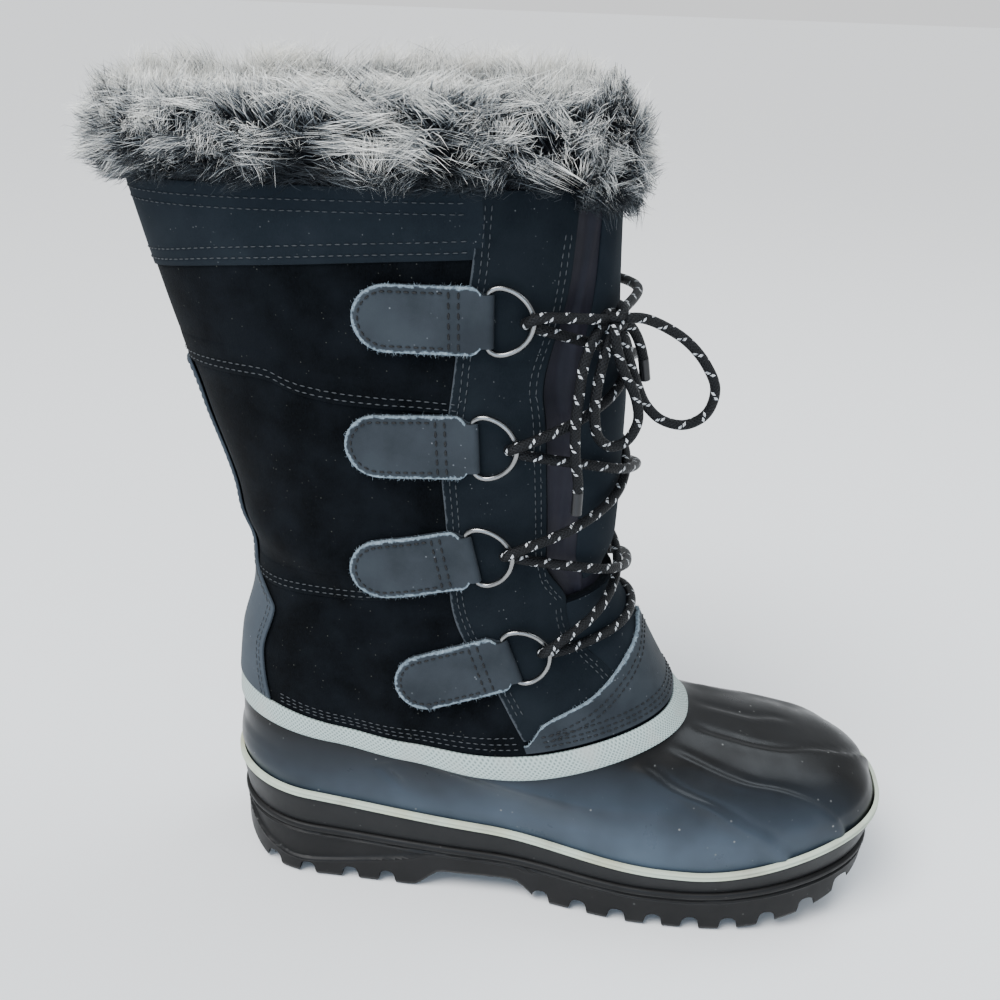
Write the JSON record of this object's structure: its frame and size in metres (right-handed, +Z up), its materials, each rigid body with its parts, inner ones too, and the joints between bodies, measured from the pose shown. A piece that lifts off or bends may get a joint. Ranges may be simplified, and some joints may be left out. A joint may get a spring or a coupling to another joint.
{
  "type": "snow boot",
  "caption": "Right-foot mid-calf winter boot: moulded rubber shell on a lugged sole, leather shaft, fur collar, tongue and one lace through D-rings on leather tabs.",
  "frame": {"origin": "on the floor under the middle of the heel", "axes": "+X towards the toe, +Y towards the inner side of the foot, +Z up; a right boot"},
  "size_m": [0.3429, 0.123, 0.3501],
  "materials": {
    "sole_rubber": "matt, dusty",
    "pale_rubber": "matt",
    "shell_rubber": "semi-gloss",
    "webbing": "diagonal weave",
    "suede": "napped suede and nubuck",
    "leather": "smooth matt",
    "nylon": "plain weave with a sheen",
    "fur": "deep pile, dark roots and pale tips",
    "felt": "felt",
    "steel": "polished wire",
    "lace": "round braid with pale flecks"
  },
  "bodies": {
    "root": {"outsole": "sole_rubber", "foxing_band": "sole_rubber", "foxing_stripe": "pale_rubber", "insole": "felt", "shell": "shell_rubber", "rand_tape": "webbing", "shaft": "suede", "tongue": "nylon", "fur_collar": "fur", "tongue_fur": "fur", "heel_counter": "leather", "vamp_overlay": "leather", "tab_outer_1": "leather", "tab_outer_2": "leather", "tab_outer_3": "leather", "tab_outer_4": "leather", "tab_inner_1": "leather", "tab_inner_2": "leather", "tab_inner_3": "leather", "tab_inner_4": "leather", "ring_outer_1": "steel", "ring_outer_2": "steel", "ring_outer_3": "steel", "ring_outer_4": "steel", "ring_inner_1": "steel", "ring_inner_2": "steel", "ring_inner_3": "steel", "ring_inner_4": "steel", "lace_crossings": "lace", "lace_knot": "lace", "lace_loop_a": "lace", "lace_loop_b": "lace", "lace_end_a": "lace", "lace_end_b": "lace"}
  },
  "joints": []
}
